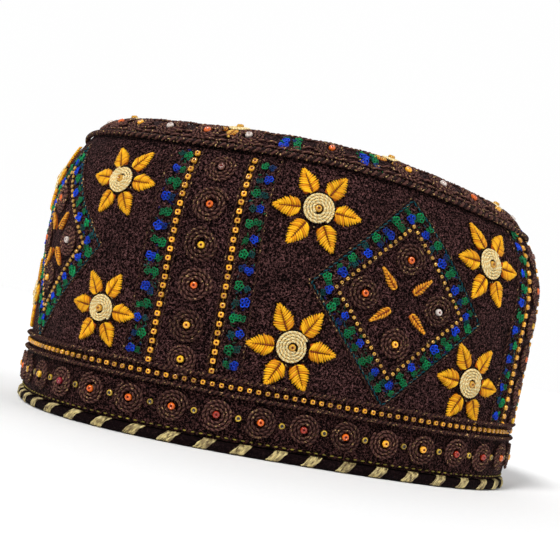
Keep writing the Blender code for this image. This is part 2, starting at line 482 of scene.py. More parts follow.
def petal(start, tip, half_width, stitches):
    """Fishbone stitches along x over a padded ground marked hollow, painted shade between stitches.
    """
    length = tip - start
    steps = np.linspace(0.0, 0.97, 9)
    ground = np.stack([start + length * steps, np.zeros(9), np.full(9, 0.1 * MM)], -1)
    # Its ground takes the second colour, painted shade showing in the gaps between the stitches
    shapes = [tube(ground, petal_width(steps) * half_width * 0.9, 8, flat=0.2, hollow=1.0)]
    steps = np.linspace(0.0, 1.0, 5)
    for share in np.arange(stitches) / (stitches - 1.0):
        root = start + length * share * 0.88
        width = half_width * petal_width(0.06 + 0.94 * share)
        for side in (-1.0, 1.0):
            x = root + (0.12 * length + 0.1 * half_width) * steps**1.2
            y = side * (0.14 * MM + width * rng.uniform(0.9, 1.08) * steps)
            z = (0.3 + 0.85 * np.sin(math.pi * (0.2 + 0.74 * steps))) * MM
            radius = np.array((0.028, 0.041, 0.043, 0.041, 0.024)) * length
            path, shade = np.stack([x, y, z], -1), rng.uniform(0.0, 0.65)
            shapes.append(tube(path, radius, sides=4, flat=0.9, hollow=shade))
    return together(shapes)


# A dark line down a petal's middle: painted shade in the gap between its two rows of stitches
def vein(start, tip):
    steps = np.linspace(0.0, 1.0, 9)
    path = np.stack([start + (tip - start) * steps, np.zeros(9), np.full(9, 1.0) * MM], -1)
    return tube(path, 0.36 * MM * (1.15 - steps), 4)


def knot(radius, loops):
    """A little cluster of loops of thread round a middle."""
    angles = np.arange(6) / 6.0 * TAU
    shapes = []
    for index in range(loops):
        turn = index / loops * TAU + rng.uniform(-0.3, 0.3)
        away = radius * rng.uniform(0.5, 0.62)
        x = away * math.cos(turn) + radius * 0.38 * np.cos(angles)
        y = away * math.sin(turn) + radius * 0.34 * np.sin(angles)
        z = radius * (0.22 + 0.08 * (index % 3) + 0.14 * np.cos(angles + rng.uniform(0.0, TAU)))
        shade = rng.uniform(0.0, 0.7)
        shapes.append(tube(np.stack([x, y, z], -1), radius * 0.17, 3, closed=True, hollow=shade))
    return together(shapes)


def polyline(corners, per_side=24):
    """Path through corners and back to the first."""
    corners = np.array(corners)
    steps = np.linspace(0.0, 1.0, per_side, endpoint=False)[:, None]
    return np.concatenate(
        [start + (end - start) * steps for start, end in zip(corners, np.roll(corners, -1, 0))]
    )


# Pieces of the scene

class Piece:
    """Gathers copies of shapes, and becomes one mesh object."""

    def __init__(self):
        self.points, self.faces, self.places, self.colours = [], [], [], []
        self.count = 0

    def add(
        self, shape, place, x=0.0, y=0.0, turn=0.0, size=1.0, lift=0.0, colour=CLOTH, hollow=HOLE_SHADE
    ):
        """Copies of a shape at x, y on the face, which may be lists, as may all that follow."""
        x, y, turn, size, lift = np.broadcast_arrays(*map(np.atleast_1d, (x, y, turn, size, lift)))
        flat = shape.points[None] * size[:, None, None]
        cosine, sine = np.cos(turn)[:, None], np.sin(turn)[:, None]
        along = x[:, None] + flat[..., 0] * cosine - flat[..., 1] * sine
        above = y[:, None] + flat[..., 0] * sine + flat[..., 1] * cosine
        points = place(along, above, flat[..., 2] + lift[:, None])
        copies, each = points.shape[:2]
        starts = self.count + np.arange(copies) * each
        for face in shape.faces:
            self.faces.append((face[None] + starts[:, None, None]).reshape(-1, face.shape[1]))
        shift = rng.random((copies, 1, 2))
        mixing = shape.hollow[None, :, None]
        own = np.broadcast_to(np.atleast_2d(colour), (copies, 3))[:, None]
        inside = np.broadcast_to(np.atleast_2d(hollow), (copies, 3))[:, None]
        self.points.append(points.reshape(-1, 3))
        self.places.append((shape.places[None] + shift).reshape(-1, 2))
        self.colours.append((own * (1.0 - mixing) + inside * mixing).reshape(-1, 3))
        self.count += copies * each

    def build(self, name, material, slot, *nodes):
        """Makes the object, with its finish and the CAD nodes that it stands for."""
        mesh = bpy.data.meshes.new(name)
        faces = [face for group in self.faces for face in group.tolist()]
        mesh.from_pydata(np.concatenate(self.points).tolist(), [], faces)
        mesh.shade_smooth()
        corners = np.empty(len(mesh.loops), dtype=np.int32)
        mesh.loops.foreach_get("vertex_index", corners)
        places = np.concatenate(self.places)[corners]
        mesh.uv_layers.new(name="UVMap").data.foreach_set("uv", places.ravel())
        colours = np.column_stack([np.concatenate(self.colours), np.ones(self.count)])
        layer = mesh.color_attributes.new(name="colour", type="FLOAT_COLOR", domain="POINT")
        layer.data.foreach_set("color", colours.ravel())
        mesh.materials.append(material)
        made = bpy.data.objects.new(name, mesh)
        bpy.context.scene.collection.objects.link(made)
        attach(made, "root")
        if nodes:
            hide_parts(*nodes)
        return made


# Materials

def add_node(tree, kind, inputs=None, **settings):
    """A node with its settings, and its inputs set or linked."""
    node = tree.nodes.new(kind)
    for key, value in settings.items():
        setattr(node, key, value)
    for key, value in (inputs or {}).items():
        if isinstance(value, bpy.types.NodeSocket):
            tree.links.new(value, node.inputs[key])
        else:
            node.inputs[key].default_value = value
    return node


def new_material(name, roughness, **constants):
    """A material and its tree and shader, constants being set on the shader."""
    made = bpy.data.materials.new(name)
    made.use_nodes = True
    tree = made.node_tree
    shader = tree.nodes["Principled BSDF"]
    shader.inputs["Roughness"].default_value = roughness
    for key, value in constants.items():
        shader.inputs[key.replace("_", " ")].default_value = value
    return made, tree, shader


def calculate(tree, operation, first, second=0.0, third=0.0, clamp=False):
    inputs = {0: first, 1: second, 2: third}
    return add_node(tree, "ShaderNodeMath", inputs, operation=operation, use_clamp=clamp).outputs[0]


def mixed(tree, factor, first, second):
    node = add_node(tree, "ShaderNodeMix", {0: factor, 6: first, 7: second}, data_type="RGBA")
    return node.outputs[2]


def noise(tree, place, scale, detail=2.0, distortion=0.0):
    inputs = {"Vector": place, "Scale": scale, "Detail": detail, "Distortion": distortion}
    return add_node(tree, "ShaderNodeTexNoise", inputs).outputs["Fac"]


def bump(tree, shader, height, distance):
    inputs = {"Height": height, "Distance": distance, "Strength": 1.0}
    node = add_node(tree, "ShaderNodeBump", inputs)
    tree.links.new(node.outputs["Normal"], shader.inputs["Normal"])


def threads(tree, place, scale, width):
    """1 on thin curling lines, where noise crosses its mean value, and 0 elsewhere."""
    value = noise(tree, place, scale, 1.0, 0.6)
    away = calculate(tree, "ABSOLUTE", calculate(tree, "SUBTRACT", value, 0.5))
    return calculate(tree, "SUBTRACT", 1.0, calculate(tree, "DIVIDE", away, width), clamp=True)


def stitched_cloth(name, ground, stitches, loops):
    """Cloth covered with small curling chain stitches of dark thread, lit in patches by painted
    highlight.
    """
    made, tree, shader = new_material(name, 0.8, Specular_IOR_Level=0.05)
    place = add_node(tree, "ShaderNodeTexCoord").outputs["Object"]
    first = threads(tree, place, loops, 0.055)
    second = threads(tree, place, loops * 1.5, 0.05)
    lines = calculate(tree, "MAXIMUM", first, calculate(tree, "MULTIPLY", second, 0.75))
    # Thread lines take the lighter colour only in these patches, as painted highlight; elsewhere
    # the near-black ground stays, partly as painted shade between the stitches
    patches = noise(tree, place, loops * 1.2, 2.0)
    wear_and_painted_highlight = calculate(tree, "MULTIPLY_ADD", patches, 6.0, -2.5, clamp=True)
    shine = calculate(tree, "MULTIPLY", lines, wear_and_painted_highlight, clamp=True)
    patchy = calculate(tree, "MULTIPLY_ADD", noise(tree, place, 90.0, 3.0), 1.2, 0.4)
    shine = calculate(tree, "MULTIPLY", shine, patchy, clamp=True)
    colour = mixed(tree, shine, (*ground, 1.0), (*stitches, 1.0))
    tree.links.new(colour, shader.inputs["Base Color"])
    bump(tree, shader, lines, 0.5 * MM)
    return made


def times(tree, colour, gain):
    """A colour made lighter or darker by a value."""
    grey = add_node(tree, "ShaderNodeCombineXYZ", {0: gain, 1: gain, 2: gain}).outputs[0]
    node = add_node(
        tree, "ShaderNodeMix", {0: 1.0, 6: colour, 7: grey}, data_type="RGBA", blend_type="MULTIPLY"
    )
    return node.outputs[2]


def thread(name, roughness, glint_share, **constants):
    """Thread in the mesh's own colour, with fine fibres along it and a share of painted highlight
    glints.
    """
    made, tree, shader = new_material(name, roughness, **constants)
    colour = add_node(tree, "ShaderNodeAttribute", attribute_name="colour").outputs["Color"]
    surface = add_node(tree, "ShaderNodeUVMap", uv_map="UVMap").outputs["UV"]
    stretched = add_node(
        tree, "ShaderNodeMapping", {"Vector": surface, "Scale": (400.0, 2000.0, 1.0)}
    ).outputs[0]
    lines = noise(tree, stretched, 1.0, 2.0)
    colour = times(tree, colour, calculate(tree, "MULTIPLY_ADD", lines, 1.3, 0.35))
    if glint_share:
        # Pale specks where noise runs high: painted highlight glints on the thread
        place = add_node(tree, "ShaderNodeTexCoord").outputs["Object"]
        speck = calculate(tree, "SUBTRACT", noise(tree, place, 1500.0, 0.0), 1.0 - glint_share)
        shown = calculate(tree, "MULTIPLY", speck, 14.0, clamp=True)
        colour = mixed(tree, shown, colour, (*PAINTED_GLINT, 1.0))
    tree.links.new(colour, shader.inputs["Base Color"])
    bump(tree, shader, lines, 0.08 * MM)
    return made


def glass(name, roughness, **constants):
    """Bead in the mesh's own colour, slightly uneven."""
    made, tree, shader = new_material(name, roughness, **constants)
    colour = add_node(tree, "ShaderNodeAttribute", attribute_name="colour").outputs["Color"]
    place = add_node(tree, "ShaderNodeTexCoord").outputs["Object"]
    value = noise(tree, place, 1100.0, 2.0)
    colour = times(tree, colour, calculate(tree, "MULTIPLY_ADD", value, 1.3, 0.35))
    tree.links.new(colour, shader.inputs["Base Color"])
    bump(tree, shader, value, 0.08 * MM)
    return made


cloth_look = stitched_cloth("dark_cloth_look", CLOTH, CLOTH_THREAD_HIGHLIGHT, 1120.0)
band_look = stitched_cloth("border_cloth_look", BAND_CLOTH, BAND_THREAD_HIGHLIGHT, 1120.0)
binding_look = stitched_cloth("rim_binding_look", BINDING, BINDING_THREAD_HIGHLIGHT, 1100.0)
cord_look = thread("couched_cord_look", 0.6, 0.3, Specular_IOR_Level=0.12)
edge_look = thread("edge_cord_look", 0.6, 0.3, Specular_IOR_Level=0.1)
satin_look = thread("petal_satin_look", 0.42, 0.0, Specular_IOR_Level=0.25)
metal_look = thread("metal_thread_look", 0.45, 0.0, Specular_IOR_Level=0.5)
stitch_look = thread("stitch_look", 0.5, 0.0, Specular_IOR_Level=0.3)
bead_look = glass("bead_look", 0.14, Specular_IOR_Level=0.7)


# Cloth
WALL_COLUMNS = 360
CROWN_COLUMNS = 300
WALL_TOP_UP = 0.9985
CROWN_EDGE_UP = 1.003


def ripple(share, up):
    """Small unevenness of hand-sewn cloth, in metres."""
    waves = np.random.default_rng(3).uniform((8, 1, 0, 0), (60, 16, TAU, 1), (14, 4))
    total = sum(
        np.sin(round(around) * TAU * share + ups * math.pi * up + phase)
        for around, ups, phase, _ in waves
    )
    return total * 0.045 * MM


def shell(rows_outside, rows_inside, thickness, columns, bulge=0.0):
    """Rows of points of a cloth's inner face, then of its outer one."""
    share = np.arange(columns) / columns
    foot, top = rows_outside[0], rows_outside[-1]
    rows = []
    for up, inner in [(up, True) for up in rows_inside] + [(up, False) for up in rows_outside]:
        ups = up if isinstance(up, np.ndarray) else np.full(columns, up)
        swell = bulge * np.sin(math.pi * (ups - foot) / (top - foot))
        lift = ripple(share, ups) + swell - (thickness if inner else 0.0)
        rows.append(
            lift_off(lambda x, y: face_point(x / OVAL_LENGTH, y), share * OVAL_LENGTH, ups, lift)
        )
    return np.stack(rows)


def flat_place(x, y, z):
    """Leaves points that are already in place as they are."""
    return np.stack([x, y, z], -1)


def rows_up(low, high, rows):
    """Rows of up values from one height in metres to another, or to the seam where it is None."""
    seam = SEAM_HEIGHT + seam_wave(np.arange(WALL_COLUMNS) / WALL_COLUMNS)
    first, last = low / seam, WALL_TOP_UP if high is None else high / seam
    return [first + (last - first) * step for step in np.linspace(0.0, 1.0, rows)]


def cloth(name, look, slot, node, rows, rings):
    """A piece of cloth: a ring whose faces meet at both edges, or a lid capped in its middle."""
    piece = Piece()
    piece.add(grid(rows, closed=rings, caps=not rings), flat_place)
    piece.build(name, look, slot, node)


band_top = BEAD_LINE_HEIGHT - BORDER_CORD_SPACING / 2.0
wall_reach = (band_top + GAP / 2.0, None)
wall_outside, wall_inside = rows_up(*wall_reach, 50), rows_up(*wall_reach, 12)[::-1]
wall_rows = shell(wall_outside, wall_inside, WALL_THICKNESS, WALL_COLUMNS)
cloth("wall_cloth", cloth_look, "dark_cloth", "side_wall", wall_rows, rings=True)

crown_outside = list(CROWN_EDGE_UP + 0.99 * np.linspace(0.0, 1.0, 36) ** 1.6)
crown_inside = list(np.linspace(1.99, CROWN_EDGE_UP, 12))
crown_rows = shell(crown_outside, crown_inside, CROWN_THICKNESS, CROWN_COLUMNS)
cloth("crown_cloth", cloth_look, "dark_cloth", "crown", crown_rows, rings=False)

band_reach = (RIM_HEIGHT + GAP, band_top - GAP / 2.0)
band_outside, band_inside = rows_up(*band_reach, 12), rows_up(*band_reach, 4)[::-1]
band_rows = shell(band_outside, band_inside, WALL_THICKNESS, WALL_COLUMNS, BAND_BULGE)
cloth("band_cloth", band_look, "border_cloth", "lower_band", band_rows, rings=True)

# Rim roll, wound with pale gold patches

around_roll = np.arange(12) / 12.0 * TAU
roll_share = np.arange(360) / 360.0
roll = roll_point(*np.broadcast_arrays(roll_share[:, None], -around_roll[None], 0.0))
binding = Piece()
binding.add(grid(roll, closed=True), flat_place)
rim_binding = binding.build("rim_binding", binding_look, "rim_binding", "rim_roll")

PATCHES = 46
PATCH_STRANDS = 6
PATCH_STRAND_SPACING = 0.78 * MM
PATCH_STRAND_RADIUS = 0.42 * MM
PATCH_LIFT = 0.14 * MM
PATCH_SLANT = 2.2 * MM
PATCH_ROWS = 13
patches = Piece()
wound = np.linspace(math.radians(-40), math.radians(205), PATCH_ROWS)
ring = np.arange(4) / 4.0 * TAU
for patch in range(PATCHES):
    for strand in range(PATCH_STRANDS):
        along = (strand - PATCH_STRANDS / 2.0) * PATCH_STRAND_SPACING
        along = along + np.sin(np.clip(wound, -1.2, math.pi / 2.0)) * PATCH_SLANT
        strand_share = (patch + 0.35) / PATCHES + along / OVAL_LENGTH
        lift = np.full(PATCH_ROWS, PATCH_LIFT)
        path = roll_point(strand_share, wound, lift)
        out = unit(roll_point(strand_share, wound, lift + 0.5 * MM) - path)
        side = np.cross(unit(np.gradient(path, axis=0)), out)
        lumps = PATCH_STRAND_RADIUS * rng.uniform(0.3, 1.25, (PATCH_ROWS, 1, 1))
        points = path[:, None] + lumps * (
            out[:, None] * np.cos(ring)[:, None] * 0.7 + side[:, None] * np.sin(ring)[:, None]
        )
        places = np.stack(np.broadcast_arrays(wound[:, None] * 0.0024, ring * 0.0006), -1)
        wear_and_painted_highlight = np.repeat(rng.uniform(0.0, 1.0, PATCH_ROWS)[:, None] ** 1.3, 4, axis=1)
        patches.add(
            grid(points, caps=True, places=places, hollow=wear_and_painted_highlight), flat_place,
            colour=RIM_GOLD, hollow=RIM_SHADE,
        )
patches.build("rim_patches", metal_look, "metal_thread")

# Cords round the cap

def round_cord(diameter, pitch, lift, wave=0.0, steps=5):
    """A twisted cord that goes round the cap and meets itself, and may sway round the rosettes."""
    count = round(OVAL_LENGTH / pitch) * steps
    x = np.arange(count) / count * OVAL_LENGTH
    sway = wave * np.cos(TAU * (CROWN_RING * (x / OVAL_LENGTH - FIRST_COLUMN) - CROWN_SHIFT))
    ring = np.arange(4) / 4.0 * TAU
    offset = np.stack([np.zeros(4), -np.sin(ring), np.cos(ring)], -1) * diameter * 0.29
    strands = []
    for strand in (0, 1):
        phase = np.arange(count) / steps * TAU + strand * math.pi
        y, z = sway + np.sin(phase) * diameter / 4.0, lift + np.cos(phase) * diameter / 4.0
        points = np.stack([x, y, z], -1)[:, None] + offset
        places = np.stack(np.broadcast_arrays(x[:, None], ring * 0.0006), -1)
        hollow = np.full(points.shape[:2], strand)
        strands.append(grid(points, closed=True, places=places, hollow=hollow))
    return together(strands)


cord_top = BEAD_LINE_HEIGHT + BORDER_CORD_SPACING / 2.0
for name, diameter, pitch, place, slot in (
    ("border_cord_lower", BORDER_CORD_DIAMETER, BORDER_CORD_PITCH, level(band_top), "couched_cord"),
    ("border_cord_upper", BORDER_CORD_DIAMETER, BORDER_CORD_PITCH, level(cord_top), "couched_cord"),
    ("seam_cord", SEAM_CORD_DIAMETER, SEAM_CORD_PITCH, along_seam, "seam_piping"),
):
    cord = Piece()
    shape = round_cord(diameter, pitch, GAP + diameter / 2.0)
    cord.add(shape, place, colour=EDGE_LIGHT, hollow=CORD_DARK)
    cord.build(name + "_twist", edge_look, slot, name)

# Rosettes of coiled cord

coil_path = spiral(outer=6.0 * MM, inner=1.9 * MM, pitch=1.42 * MM, height=0.6 * MM)
coil = twist(coil_path, diameter=1.3 * MM, pitch=1.9 * MM, steps=5, sides=3)
round_bead = bead(width=2.6 * MM, height=1.6 * MM, hole=0.24)
square_bead = bead(width=2.05 * MM, height=1.3 * MM, hole=0.28, squareness=4.0, sides=8)
seed_bead = bead(width=1.3 * MM, height=0.9 * MM, hole=0.24, squareness=3.0, sides=8)
ring_bead = bead(width=2.3 * MM, height=0.9 * MM, hole=0.44)

rosette_beads = Piece()


def rosettes(name, places, lift, colours, *nodes):
    """Coils at these places, with a bead of each colour in their middles."""
    piece = Piece()
    for (share, up, x, y, size), colour in zip(places, colours):
        here = spot(share, up)
        turn = rng.uniform(0.0, TAU)
        shade = rng.uniform(0.75, 1.25)
        piece.add(
            coil, here, x, y, turn, size, lift, colour=COIL_LIGHT * shade, hollow=COIL_DARK * shade
        )
        rosette_beads.add(round_bead, here, x, y, turn, lift=lift + 0.3 * MM, colour=colour)
    piece.build(name, cord_look, "couched_cord", *nodes)


def height_up(share, height):
    return height / (SEAM_HEIGHT + seam_wave(share))


BAND_COLOURS = (
    (ORANGE, RED, ORANGE, RED, ORANGE, AMBER, AMBER, RED, RED, ORANGE)
    + (AMBER, ORANGE, ORANGE, RED) * 5
    + (ORANGE, AMBER, ORANGE, BRASS, YELLOW, MAGENTA, ORANGE, ORANGE)
)
band_shares = [FIRST_COLUMN + index / BAND_ROSETTE_COUNT for index in range(BAND_ROSETTE_COUNT)]
rosettes(
    "band_rosettes",
    [
        (share, height_up(share, BAND_ROSETTE_HEIGHT), 0.0, 0.0, BAND_ROSETTE_SIZE)
        for share in band_shares
    ],
    BAND_BULGE + GAP,
    BAND_COLOURS,
    *[f"band_rosette_{index + 1:02d}" for index in range(BAND_ROSETTE_COUNT)],
)

COLUMN_COLOURS = (DULL, ORANGE, YELLOW, ORANGE, AMBER, YELLOW)
rosettes(
    "column_rosettes",
    [(column, up, 0.0, 0.0, size) for column in COLUMNS for up, size in COLUMN_ROSETTES],
    GAP,
    COLUMN_COLOURS * 4,
)

rosettes(
    "diamond_rosettes",
    [
        (diamond, DIAMOND_UP, x, y, DIAMOND_ROSETTE_SIZE)
        for diamond in DIAMONDS
        for x, y in DIAMOND_ROSETTES
    ],
    GAP,
    (ORANGE, WHITE, AMBER, ORANGE) * 4,
)

# Crown rosettes in a ring beside the seam, with knots in the places of some
crown_shares = [FIRST_COLUMN + (index + CROWN_SHIFT) / CROWN_RING for index in range(CROWN_RING)]
rosettes(
    "crown_rosettes",
    [
        (crown_shares[index], 1.0, 0.0, CROWN_ROSETTES_IN, CROWN_ROSETTE_SIZE)
        for index in range(CROWN_RING)
        if index not in CROWN_KNOTS
    ]
    + [(quarter / 4.0, CROWN_MIDDLE_UP, 0.0, 0.0, CROWN_ROSETTE_SIZE) for quarter in range(4)],
    GAP,
    [(WHITE, ORANGE, AMBER)[index % 3] for index in range(CROWN_RING - len(CROWN_KNOTS) + 4)],
)

# Flowers

petals, discs, outlines = Piece(), Piece(), Piece()
petal_shape = petal(DISC_EDGE, PETAL_TIP, PETAL_HALF_WIDTH, stitches=11)
leaf = petal(0.0, tip=8.8 * MM, half_width=1.5 * MM, stitches=8)
small_petal = petal(DISC_EDGE, PETAL_TIP, PETAL_HALF_WIDTH, stitches=7)
vein_shape = vein(start=6.8 * MM, tip=14.8 * MM)
leaf_vein = vein(start=0.5 * MM, tip=8.0 * MM)
disc_path = spiral(outer=5.8 * MM, inner=1.7 * MM, pitch=1.08 * MM, height=0.9 * MM)
disc_shape = twist(disc_path, diameter=1.2 * MM, pitch=1.8 * MM, steps=5, sides=3)
circle = np.arange(36) / 36.0 * TAU
ring_path = np.stack([np.cos(circle), np.sin(circle), np.zeros(36)], -1) * DISC_EDGE
disc_ring = tube(ring_path + (0.0, 0.0, EDGE_LIFT), 0.42 * MM, 5, closed=True)


def flower(here, y=0.0, size=1.0, shape=petal_shape, tint=PETAL):
    """Six petals round a coiled disc with a bead in it."""
    first = 0.0 if shape is petal_shape else math.pi / 6.0
    for turn in first + np.arange(6) / 6.0 * TAU:
        turn += rng.uniform(-0.07, 0.07)
        colour = tint * rng.uniform(0.93, 1.12)
        # Each petal's ground takes painted shade in the gaps between its stitches, and its vein is
        # painted shade in the middle gap
        petals.add(shape, here, 0.0, y, turn, size, colour=colour, hollow=PETAL_SHADE)
        petals.add(vein_shape, here, 0.0, y, turn, size, colour=VEIN_SHADE)
    turn = rng.uniform(0.0, TAU)
    discs.add(disc_shape, here, 0.0, y, turn, size, GAP, colour=DISC, hollow=DISC_SHADE)
    outlines.add(disc_ring, here, 0.0, y, 0.0, size, colour=CORD_DARK * 0.6)
    rosette_beads.add(round_bead, here, 0.0, y, lift=GAP + 0.5 * MM, colour=BRASS)


for share, up, size in (*SEEN_FLOWERS, *OTHER_FLOWERS):
    flower(spot(share, up), size=size)
for index in range(CROWN_FLOWERS):
    here = spot(CROWN_FIRST_FLOWER + index / CROWN_FLOWERS, 1.0)
    flower(here, CROWN_FLOWERS_IN, CROWN_FLOWER_SIZE, small_petal, CROWN_PETAL)

# Lines of beads, knots and stitches

line_beads, pale_beads = Piece(), Piece()
blue_stitches, green_stitches, yellow_stitches = Piece(), Piece(), Piece()
small_stitch = stitch(length=1.8 * MM, width=0.6 * MM, height=0.6 * MM, rows=3, sides=3)
blue_knots = [knot(radius=1.75 * MM, loops=5) for _ in range(3)]
green_knots = [knot(radius=1.75 * MM, loops=5) for _ in range(3)]
small_knots = [knot(radius=1.4 * MM, loops=4) for _ in range(3)]
dash = stitch(length=1.4 * MM, width=0.42 * MM, height=0.4 * MM)
run = stitch(length=1.5 * MM, width=0.5 * MM, height=0.45 * MM)


def jitter(count, size):
    return rng.uniform(-size, size, count)


def edge_cord(path, closed=False):
    return twist(path, diameter=0.9 * MM, pitch=2.2 * MM, steps=3, sides=3, closed=closed)


def bead_line(piece, shape, here, start, end, pitch, colour):
    """Beads in a straight line between two flat places."""
    start, end = np.array(start), np.array(end)
    length = np.linalg.norm(end - start)
    count = max(2, round(length / pitch) + 1)
    steps = np.linspace(0.0, 1.0, count)[:, None]
    places = start + (end - start) * steps
    turn = math.atan2(*(end - start)[::-1])
    shade = rng.uniform(0.6, 1.15, (count, 1))
    x = places[:, 0] + jitter(count, 0.12 * MM)
    y = places[:, 1] + jitter(count, 0.12 * MM)
    turns = turn + jitter(count, 0.12)
    piece.add(shape, here, x, y, turns, lift=SEWN, colour=colour * shade)


def add_knots(piece, shapes, here, places, colours, dark):
    """Knots of a few kinds, by turns, each in its own shade."""
    for kind, shape in enumerate(shapes):
        x, y = places[kind :: len(shapes)].T
        colour = colours[kind :: len(shapes)] * rng.uniform(0.7, 1.3, (len(x), 1))
        turn, size = rng.uniform(0.0, TAU, len(x)), rng.uniform(0.85, 1.12, len(x))
        piece.add(shape, here, x, y, turn, size, SEWN, colour, dark)


def zigzag(here, start, end, out):
    """Blue knots on one side of a band and green ones on the other, with small stitches between."""
    start, end = np.array(start), np.array(end)
    length = np.linalg.norm(end - start)
    along = (end - start) / length
    outward = np.array((along[1], -along[0])) * out
    count = 2 * max(1, round(length / ZIGZAG_PITCH / 2.0))

    def sway(order, reach):
        share = (order + 0.5) / count
        side = np.where(np.arange(len(order)) % 2, -reach, reach)
        places = start + along * (share * length)[:, None] + outward * side[:, None]
        return places + rng.uniform(-KNOT_JITTER, KNOT_JITTER, (len(order), 2))

    middles = sway(np.arange(count), ZIGZAG_SWAY)
    blues, greens = np.tile(BLUE, (count // 2, 1)), np.tile(GREEN, (count // 2, 1))
    add_knots(blue_stitches, blue_knots, here, middles[0::2], blues, DARK_BLUE)
    add_knots(green_stitches, green_knots, here, middles[1::2], greens, DARK_GREEN)
    between = sway(np.arange(count) + rng.uniform(-0.15, 0.15, count), -ZIGZAG_SWAY)
    tints = np.array((GREEN, TEAL, GREEN * 0.8, DARK_BLUE))
    tints = tints[rng.integers(0, len(tints), count)]
    add_knots(green_stitches, small_knots, here, between, tints, DARK_GREEN)

    count = round(length / STITCH_SPACING)
    places = start + along * rng.uniform(0.0, length, count)[:, None]
    places += outward * rng.uniform(-ZIGZAG_HALF_WIDTH, ZIGZAG_HALF_WIDTH, count)[:, None]
    turns, sizes = rng.uniform(0.0, math.pi, count), rng.uniform(0.6, 1.0, count)
    tints = np.array((TEAL, DARK_GREEN, DARK_BLUE * 0.6, GREEN * 0.6, RED * 0.2))
    tints = tints[rng.integers(0, len(tints), count)]
    green_stitches.add(small_stitch, here, *places.T, turns, sizes, colour=tints)


border_count = round(OVAL_LENGTH / BEAD_PITCH)
border_x = np.arange(border_count) / border_count * OVAL_LENGTH
line_beads.add(
    square_bead, level(BEAD_LINE_HEIGHT), border_x, turn=jitter(border_count, 0.2),
    size=BORDER_BEAD_SIZE, lift=SEWN, colour=AMBER * rng.uniform(0.35, 1.0, (border_count, 1)),
)
run_count = round(OVAL_LENGTH / RUN_PITCH)
yellow_stitches.add(
    run, level(RUN_HEIGHT), np.arange(run_count) / run_count * OVAL_LENGTH,
    turn=jitter(run_count, 0.12), lift=SEWN, colour=RUN * rng.uniform(0.5, 1.1, (run_count, 1)),
)

for column in COLUMNS:
    here = spot(column, COLUMN_FOOT_UP)
    for side, away_at_top in ((-1, ZIGZAG_AWAY_LEFT_TOP), (1, ZIGZAG_AWAY)):
        x = side * COLUMN_LINE
        top_x = x * COLUMN_TAPER
        low, high = BEADS_REACH
        bead_line(line_beads, square_bead, here, (x, low), (top_x, high), BEAD_PITCH, AMBER)
        low, high = DASHES_REACH
        bead_line(yellow_stitches, dash, here, (x, low), (top_x, high), BEAD_PITCH, BRASS * 0.5)
        low, high = ZIGZAG_REACH
        zigzag_foot = x + side * ZIGZAG_AWAY
        zigzag_top = (x + side * away_at_top) * COLUMN_TAPER
        zigzag(here, (zigzag_foot, low), (zigzag_top, high), side)
        low, high = EDGES_REACH
        for away in COLUMN_EDGES:
            foot = x + side * away
            edge = [(foot, low, EDGE_LIFT), (foot * COLUMN_TAPER, high, EDGE_LIFT)]
            outlines.add(edge_cord(np.array(edge)), here, colour=EDGE_LIGHT, hollow=CORD_DARK)
    yellow_stitches.add(
        dash, here, np.linspace(1.0, COLUMN_TAPER, COLUMN_DASHES) * COLUMN_LINE - COLUMN_DASHES_IN,
        COLUMN_DASHES_FOOT + np.arange(COLUMN_DASHES) * BEAD_PITCH, math.pi / 2.0, colour=DASH,
    )


def diamond_motif(here, size):
    """A band of knots with beads and cords beside it, and four leaves in the middle."""
    middle = DIAMOND_MIDDLE_REACH * size
    inside = DIAMOND_INNER_REACH * 0.96 * size
    for first, second in zip(DIAMOND_CORNERS, DIAMOND_CORNERS[1:] + DIAMOND_CORNERS[:1]):
        first, second = np.array(first), np.array(second)
        zigzag(here, first * middle, second * middle, -1)
        ends = first * inside, second * inside
        bead_line(pale_beads, seed_bead, here, *ends, DIAMOND_BEAD_PITCH, SPACER)
    for reach, light in (
        (DIAMOND_REACH * size + 1.2 * MM, TEAL),
        (DIAMOND_REACH * size + 2.6 * MM, EDGE_LIGHT),
        (DIAMOND_INNER_REACH * size - 2.6 * MM, EDGE_LIGHT),
    ):
        outline = [(x * reach, y * reach, EDGE_LIFT) for x, y in DIAMOND_CORNERS]
        edge = edge_cord(polyline(outline), closed=True)
        outlines.add(edge, here, colour=light, hollow=CORD_DARK)
    for turn in (45, 135, 225, 315):
        angle = math.radians(turn) + rng.uniform(-0.1, 0.1)
        x, y = LEAF_AWAY * math.cos(angle), LEAF_AWAY * math.sin(angle)
        # Leaf grounds and veins take painted shade, as in the petals
        petals.add(leaf, here, x, y, angle, size, colour=LEAF, hollow=LEAF_SHADE)
        petals.add(leaf_vein, here, x, y, angle, size, colour=VEIN_SHADE)


for diamond in DIAMONDS:
    diamond_motif(spot(diamond, DIAMOND_UP), 1.0)
diamond_motif(crown_top(), CROWN_DIAMOND_SIZE)
for away, wave in CROWN_CORDS:
    shape = round_cord(diameter=1.3 * MM, pitch=5.0 * MM, lift=0.45 * MM, wave=wave, steps=3)
    outlines.add(shape, along_seam, y=away, colour=COIL_LIGHT, hollow=COIL_DARK)
for index in CROWN_KNOTS:
    here = spot(crown_shares[index], 1.0)
    for away in CROWN_KNOT_ROWS:
        zigzag(here, (-CROWN_KNOT_REACH, away), (CROWN_KNOT_REACH, away), 1)

# Beads between the band's rosettes
between = (np.array(band_shares) + 0.5 / BAND_ROSETTE_COUNT) * OVAL_LENGTH
# The rings' holes are near black: painted shade
rosette_beads.add(
    ring_bead, level(BAND_ROSETTE_HEIGHT), between, lift=BAND_BULGE + SEWN,
    colour=RING_GOLD * rng.uniform(0.4, 1.0, (BAND_ROSETTE_COUNT, 1)), hollow=DARK_HOLE_SHADE,
)

